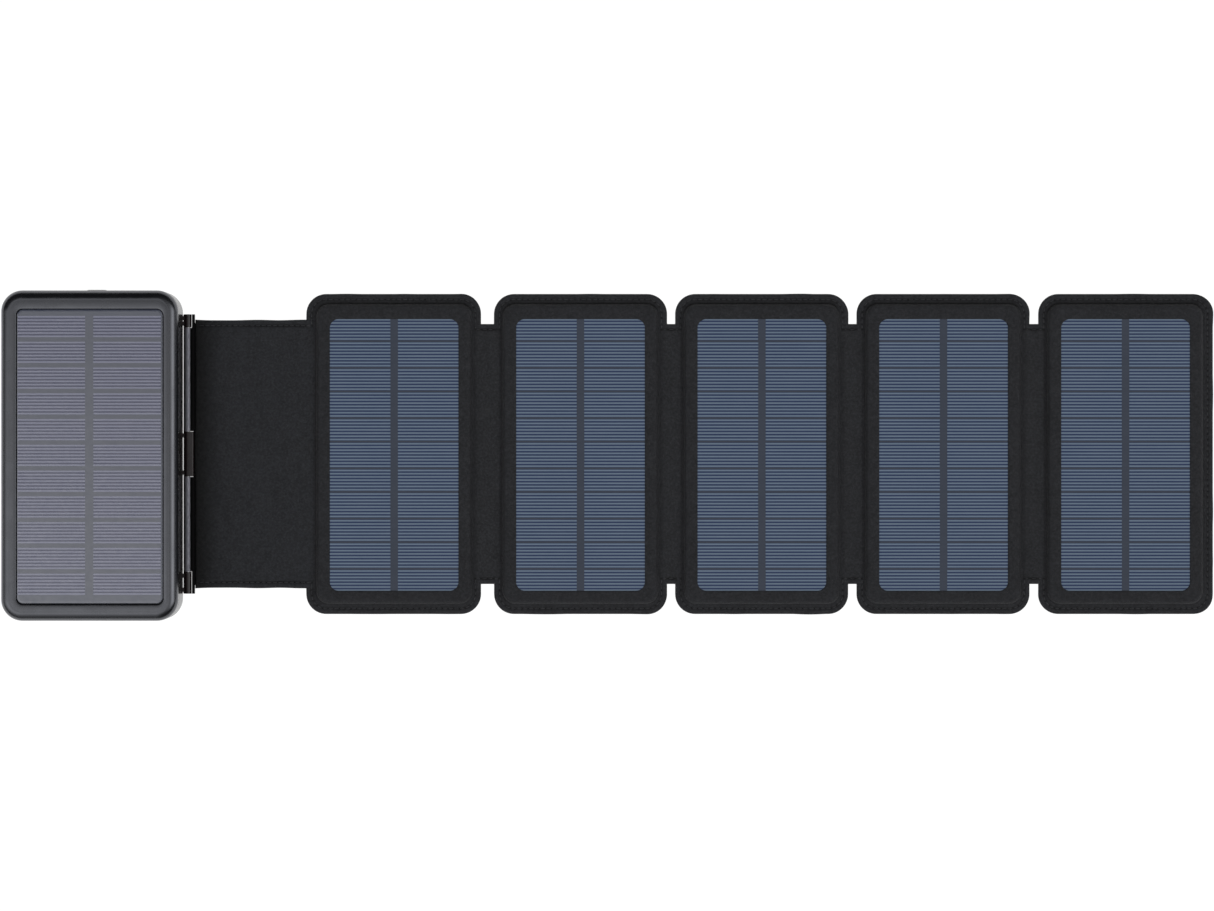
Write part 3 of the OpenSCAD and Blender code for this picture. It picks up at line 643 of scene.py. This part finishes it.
def printed(strips, z0, z1):
    """Thin plates (x0, x1, y0, y1, finger centres, finger width) whose tops are striped; material 0 between, 1 on the fingers."""
    V, F, mi = [], [], []
    for x0, x1, y0, y1, mids, wide in strips:
        ys = [y0]
        for m in mids:
            ys += [m - wide / 2, m + wide / 2]
        ys.append(y1)
        b0 = len(V)
        for y in ys:
            V += [(x0, y, z1), (x1, y, z1)]
        for k in range(len(ys) - 1):
            a = b0 + 2 * k
            F.append((a, a + 1, a + 3, a + 2))
            mi.append(k % 2)
        c = len(V)
        V += [(x0, y0, z0), (x1, y0, z0), (x0, y1, z0), (x1, y1, z0)]
        e = b0 + 2 * (len(ys) - 1)
        F += [(c, c + 1, b0 + 1, b0), (c + 3, c + 2, e, e + 1),
              tuple([c + 2, c] + list(range(b0, e + 1, 2))), tuple([c + 1, c + 3] + list(range(e + 1, b0, -2)))]
        mi += [0, 0, 0, 0]
    return V, F, mi


def panel_cells(i):
    n = i + 1
    cx, cy = PX[i], PY + WINDOW_DY
    z = 3.4
    counts = [7, 8, 7, 8, 7, 8, 7, 8, 7, 8, 7]
    total = sum((c - 1) * PITCH_Y for c in counts) + 10 * 2.02
    g = np.random.default_rng(300 + i)
    strips = []
    for x0, x1 in [(-30.42, -1.76), (1.76, 30.42)]:
        y = -total / 2
        for k, c in enumerate(counts):
            y_end = y + (c - 1) * PITCH_Y
            a = y - 1.01 + 0.42 if k else -64.0
            b_ = y_end + 1.01 - 0.42 if k < 10 else 64.0
            e = g.uniform(-0.05, 0.05)
            strips.append((cx + x0 + e, cx + x1 + e, cy + a, cy + b_, [cy + y + q * PITCH_Y for q in range(c)], LINE))
            y = y_end + 2.02
    V, F, mi = printed(strips, z, z + 0.08)
    o = build(f"panel_{n}_cell_strips", V, F, ["panel_cells", "panel_lines"], mi, smooth=False)
    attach(o, f"panel_{n}")
    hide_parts(f"panel_{n}_cells")
    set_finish(o, "panel_cells")


def fabric_strip(xs, top, bottom, ys, half, edge=None):
    """A closed strip of cloth. top and bottom give the heights at each x; ys runs from -half to half."""
    xs, ys = np.asarray(xs, float), np.asarray(ys, float)
    d = half - np.abs(ys)
    lift = np.interp(d, [0, 0.06, 0.22, 0.5, 1.0], [0.0, 0.45, 0.76, 0.93, 1.0])
    loops = []
    for y, f in zip(ys, lift):
        t_, b_ = top(xs, y), bottom(xs, y)
        mid = (t_ + b_) / 2 * 0.98
        yy = y + (edge(xs) * np.sign(y) * (abs(y) / half) ** 6 if edge is not None else 0)
        up_ = np.c_[xs, np.broadcast_to(PY + yy, xs.shape), mid + (t_ - mid) * f]
        dn_ = np.c_[xs, np.broadcast_to(PY + yy, xs.shape), mid + (b_ - mid) * f]
        loops.append(np.vstack([up_, dn_[::-1]]))
    P = np.array(loops)
    F = ring_faces(P.shape[1], P.shape[0])
    return P.reshape(-1, 3), F


def strip_rows(half, step, seam):
    inner = np.arange(0, half - 1.0, step)
    pos = np.r_[inner, half - 1.0, half - 0.75, half - 0.5, half - 0.22, half - 0.06, half]
    pos = np.unique(np.r_[pos, seam - 0.55, seam - 0.25, seam, seam + 0.25, seam + 0.55])
    return np.r_[-pos[:0:-1], pos]


def bridge(i):
    """The cloth from the crease of panel i to the crease of panel i+1, over the fold."""
    a, b_ = EDGE_B[i], EDGE_A[i + 1]
    rim_l = np.array([-CREASE, -3.3, -2.9, -2.2, -1.4, -0.6])
    xs = np.r_[a + rim_l, np.linspace(a, b_, 17), b_ - rim_l[::-1]]
    end = np.r_[[1.02, 1.22, 1.335], np.full(len(xs) - 6, 1.36), [1.335, 1.22, 1.02]]
    low = np.r_[[0.14, 0.06, 0.02], np.zeros(len(xs) - 6), [0.02, 0.06, 0.14]]
    seam = BR - 2.6
    mid = (a + b_) / 2

    def top(x, y):
        h = end.copy()
        h -= 0.10 * np.exp(-(((x - mid) / 0.9) ** 2))
        deep = np.interp(x, [a - 3.2, a - 2.9, a + 0.1, a + 0.8, b_ - 0.8, b_ - 0.1, b_ + 2.9, b_ + 3.2], [0, 0.03, 0.03, 0.34, 0.34, 0.03, 0.03, 0])
        h -= deep * np.exp(-(((abs(y) - seam) / 0.42) ** 2))
        h += wob(x, np.full_like(x, y), 120 + i, (6, 18), (14, 50), 0.028) * np.interp(x, [a - 3, a - 2, b_ + 2, b_ + 3], [0, 1, 1, 0])
        return h

    def bottom(x, y):
        return low

    V, F = fabric_strip(xs, top, bottom, strip_rows(BR, 0.9, seam), BR)
    # painted shade along the seam dips and at the creases at both ends
    shade_paint = 0.9 * np.exp(-(((abs(V[:, 1] - PY) - seam) / 0.55) ** 2))
    shade_paint = np.maximum(shade_paint, np.interp(V[:, 0], [a - CREASE, a - 2.9, a - 2.2, a - 1.2, b_ + 2.4, b_ + 3.0, b_ + CREASE], [0.0, 0.1, 0.22, 0, 0, 0.35, 0.4]))
    V = V.tolist()
    mi = [0] * len(F)
    at, tan = [], []
    for sy in (-1, 1):
        c, d = along([(a - STITCH, PY + sy * seam, 1.24), (b_ + STITCH, PY + sy * seam, 1.24)], PITCH, 0.1, 0.05, i)
        at.append(c), tan.append(d)
        for x in (a - STITCH, b_ + STITCH):
            at.append(np.array([[x, PY + sy * (seam + 1.35), 1.36]])), tan.append(np.array([[0, 1.0, 0]]))
    at, tan = np.vstack(at), np.vstack(tan)
    SV, SF = capsules(at, tan, np.tile(up, (len(at), 1)), length=1.95, r=0.16, dip=0.15)
    F = F + [tuple(q + len(V) for q in f) for f in SF]
    mi += [1] * len(SF)
    V = V + [list(v) for v in SV]
    shade_paint = np.r_[shade_paint, np.zeros(len(SV))]
    o = build(f"bridge_{i + 1}_{i + 2}", V, F, ["bridge_fabric", "thread"], mi, weld=1e-4, flip=True, grime=shade_paint)
    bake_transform(o)
    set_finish(o, "fabric_front")


FX0, FX1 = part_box("flap_front_cover")[0].x / MM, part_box("flap_front_cover")[1].x / MM


def flap():
    """The flap's cloth, from the hinge bar to the crease of the first panel, over the fold between them."""
    half = 63.0
    e = EDGE_A[0]
    CREASE = 3.65 + EXTRA_L[0]
    xs = np.r_[FX0, FX0 + 0.15, FX0 + 0.5, np.arange(FX0 + 1.1, e - 2.4, 0.85), np.linspace(e - 2.0, e + 0.5, 11),
               e + 0.9, e + 1.6, e + 2.3, e + 2.9, e + 3.3, e + CREASE]
    seam = half - 2.8

    def top(x, y):
        h = np.interp(x, [FX0, FX0 + 0.15, FX0 + 0.5, e - 2.2, e - 0.2, e + 0.5, e + 2.9, e + 3.3, e + CREASE],
                      [1.15, 1.45, 1.58, 1.60, 1.52, 1.38, 1.345, 1.22, 1.02])
        body = np.interp(x, [FX0 + 0.5, FX0 + 5, e - 4, e + 0.5], [0, 1, 1, 0.1])
        h = h + wob(x, np.full_like(x, y), 11, (10, 34), (40, 130), 0.10) * body
        h = h + wob(x, np.full_like(x, y), 12, (5, 12), (10, 40), 0.025) * body
        h = h - 0.32 * np.interp(x, [e - 22, e - 18, e - 7, e - 3], [0, 1, 1, 0])  # hollow where the folded stack's bridges lie
        h = h - 0.30 * np.exp(-(((abs(y) - seam) / 0.4) ** 2)) * ((x > FX0 + 1) & (x < e + STITCH))
        h = h + 0.04 * np.cos(TAU * x / PITCH) * np.exp(-(((abs(y) - seam) / 1.0) ** 2)) * body
        return h

    def bottom(x, y):
        return np.interp(x, [FX0, FX0 + 0.15, FX0 + 0.5, e + 2.9, e + 3.3, e + CREASE], [0.45, 0.15, 0.02, 0.0, 0.06, 0.14])

    def edge(x):
        return wob(x, np.zeros_like(x), 5, (18, 60), (50, 60), 0.16) - 0.1

    V, F = fabric_strip(xs, top, bottom, strip_rows(half, 1.15, seam), half, edge)
    # painted shade along the seam dips, a painted shadow of the bank's wall that is darkest at the hinge and fades out
    # 16 mm away, and painted shade at the crease
    shade_paint = 0.8 * np.exp(-(((abs(V[:, 1] - PY) - seam) / 0.55) ** 2))
    shade_paint = np.maximum(shade_paint, np.interp(V[:, 0], [FX0, FX0 + 1.5, FX0 + 3.5, FX0 + 7.6, FX0 + 11.4, FX0 + 16, e + 3.2, e + CREASE], [0.95, 0.93, 0.82, 0.45, 0.12, 0, 0, 0.3]))
    V = V.tolist()
    mi = [0] * len(F)
    at, tan = [], []
    for sy in (-1, 1):
        c, d = along([(FX0 + 1.6, PY + sy * seam, 1.46), (e - 1.5, PY + sy * seam, 1.46), (e + 0.6, PY + sy * seam, 1.28), (e + STITCH, PY + sy * seam, 1.25)], PITCH, 0.1, 0.08, 3)
        at.append(c), tan.append(d)
        at.append(np.array([[e + STITCH, PY + sy * (seam + 1.4), 1.33]])), tan.append(np.array([[0, 1.0, 0]]))
    at, tan = np.vstack(at), np.vstack(tan)
    SV, SF = capsules(at, tan, np.tile(up, (len(at), 1)))
    F = F + [tuple(q + len(V) for q in f) for f in SF]
    mi += [1] * len(SF)
    V = V + [list(v) for v in SV]
    shade_paint = np.r_[shade_paint, np.zeros(len(SV))]
    o = build("flap_cloth", V, F, ["flap_fabric", "thread"], mi, weld=1e-4, flip=True, grime=shade_paint)
    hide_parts("flap_front_cover", "flap_back_cover")
    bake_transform(o)
    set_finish(o, "flap_fabric")


for i in range(5):
    panel(i)
    panel_cells(i)
for i in range(4):
    bridge(i)
flap()


# ------------------------------------------------------------------ power bank

BX, BY = centre("bank_front_shell")
VX, VY = centre("bank_laminate")
CX, CY = centre("bank_cells")
BW, BL, BT = 82.2, 153.3, 24.0
VW, VL = 67.4, 136.0


def front_shell():
    f = 4.2
    rows = [(BW - 1.6, BL - 1.6, 9.2, 17.0), (BW - 0.3, BL - 0.3, 9.85, 17.0), (BW, BL, 10, 17.12), (BW, BL, 10, BT - f - 0.3)]
    for a in np.linspace(0, 90, 17):
        c, s_ = f * (1 - math.cos(math.radians(a))), f * math.sin(math.radians(a))
        rows.append((BW - 2 * c, BL - 2 * c, 10 - c, BT - f + s_))
    rows[-1] = (rows[-1][0], rows[-1][1], rows[-1][2], BT - 0.03)
    P = loft(rows, BX, BY, 6, 10, 20)
    # the bezel between the rim and the window, slightly crowned
    w = VW + 0.8
    inner = [(w + 0.9, VL + 1.7, 3.6, BT - 0.05), (w + 0.5, VL + 1.3, 3.45, BT - 0.07), (w + 0.2, VL + 1.0, 3.3, BT - 0.15),
             (w + 0.05, VL + 0.85, 3.22, BT - 0.3), (w, VL + 0.8, 3.2, BT - 0.5), (w, VL + 0.8, 3.2, BT - 1.3),
             (w - 0.5, VL + 0.3, 3.0, BT - 1.4), (w - 8, VL - 8, 2.0, BT - 1.4)]
    Q = loft(inner, VX, VY, 6, 10, 20)
    a, b = P[-1], Q[0]
    mid = []
    for t in (0.17, 0.34, 0.5, 0.66, 0.83):
        m = a * (1 - t) + b * t
        m[:, 2] = BT - 0.04 + 0.04 * (1 - (2 * t - 1) ** 2)
        mid.append(m)
    P = np.concatenate([P, np.array(mid), Q])
    F = ring_faces(P.shape[1], P.shape[0])
    o = build("front_shell", P.reshape(-1, 3), F, ["grey_bezel"])
    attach(o, "bank")
    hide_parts("bank_front_shell")
    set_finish(o, "grey_bezel")


def bank_panel():
    z = BT - 0.58
    rows = [(VW, VL, 2.8, BT - 1.38), (VW, VL, 2.8, z - 0.08), (VW - 0.06, VL - 0.06, 2.77, z - 0.02), (VW - 0.2, VL - 0.2, 2.7, z),
            (VW - 2, VL - 2, 1.8, z)]
    P = loft(rows, VX, VY + 0.2, 4, 6, 12)
    F = ring_faces(P.shape[1], P.shape[0])
    m = P.shape[1]
    F.append(tuple(range((len(rows) - 1) * m, len(rows) * m)))
    o = build("bank_solar_sheet", P.reshape(-1, 3), F, ["bank_pv_sheet"])
    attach(o, "bank")
    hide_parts("bank_laminate")
    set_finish(o, "bank_pv_sheet")

    g = np.random.default_rng(77)
    strips = []
    pitch, row = 1.505, 11.93
    for s_ in (-1, 1):
        x0, x1 = sorted((s_ * 1.93, s_ * 33.13))
        for k in range(-5, 6):
            e = CX + g.uniform(-0.04, 0.04)
            y0 = CY + k * row
            strips.append((e + x0, e + x1, y0 - 3 * pitch - 0.42, y0 + 3 * pitch + 0.42, [y0 + q * pitch for q in range(-3, 4)], 0.74))
    V, F, mi = printed(strips, z - 0.01, z + 0.03)
    c = build("bank_cell_strips", V, F, ["bank_cells", "bank_lines"], mi, smooth=False)
    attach(c, "bank")
    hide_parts("bank_cells")
    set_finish(c, "bank_cells")


front_shell()
bank_panel()


# ------------------------------------------------------------------ floor

floor_mesh = bpy.data.meshes.new("floor")
floor_mesh.from_pydata([(-30, -30, -0.0004), (30, -30, -0.0004), (30, 30, -0.0004), (-30, 30, -0.0004)], [], [(0, 1, 2, 3)])
floor = bpy.data.objects.new("floor", floor_mesh)
scene.collection.objects.link(floor)
fm = bpy.data.materials.new("floor_white")
fm.use_nodes = True
fb = fm.node_tree.nodes["Principled BSDF"]
fb.inputs["Base Color"].default_value = (0.12, 0.12, 0.12, 1)
fb.inputs["Roughness"].default_value = 0.9
fb.inputs["Emission Color"].default_value = (1, 1, 1, 1)
fb.inputs["Emission Strength"].default_value = 0.98
floor_mesh.materials.append(fm)
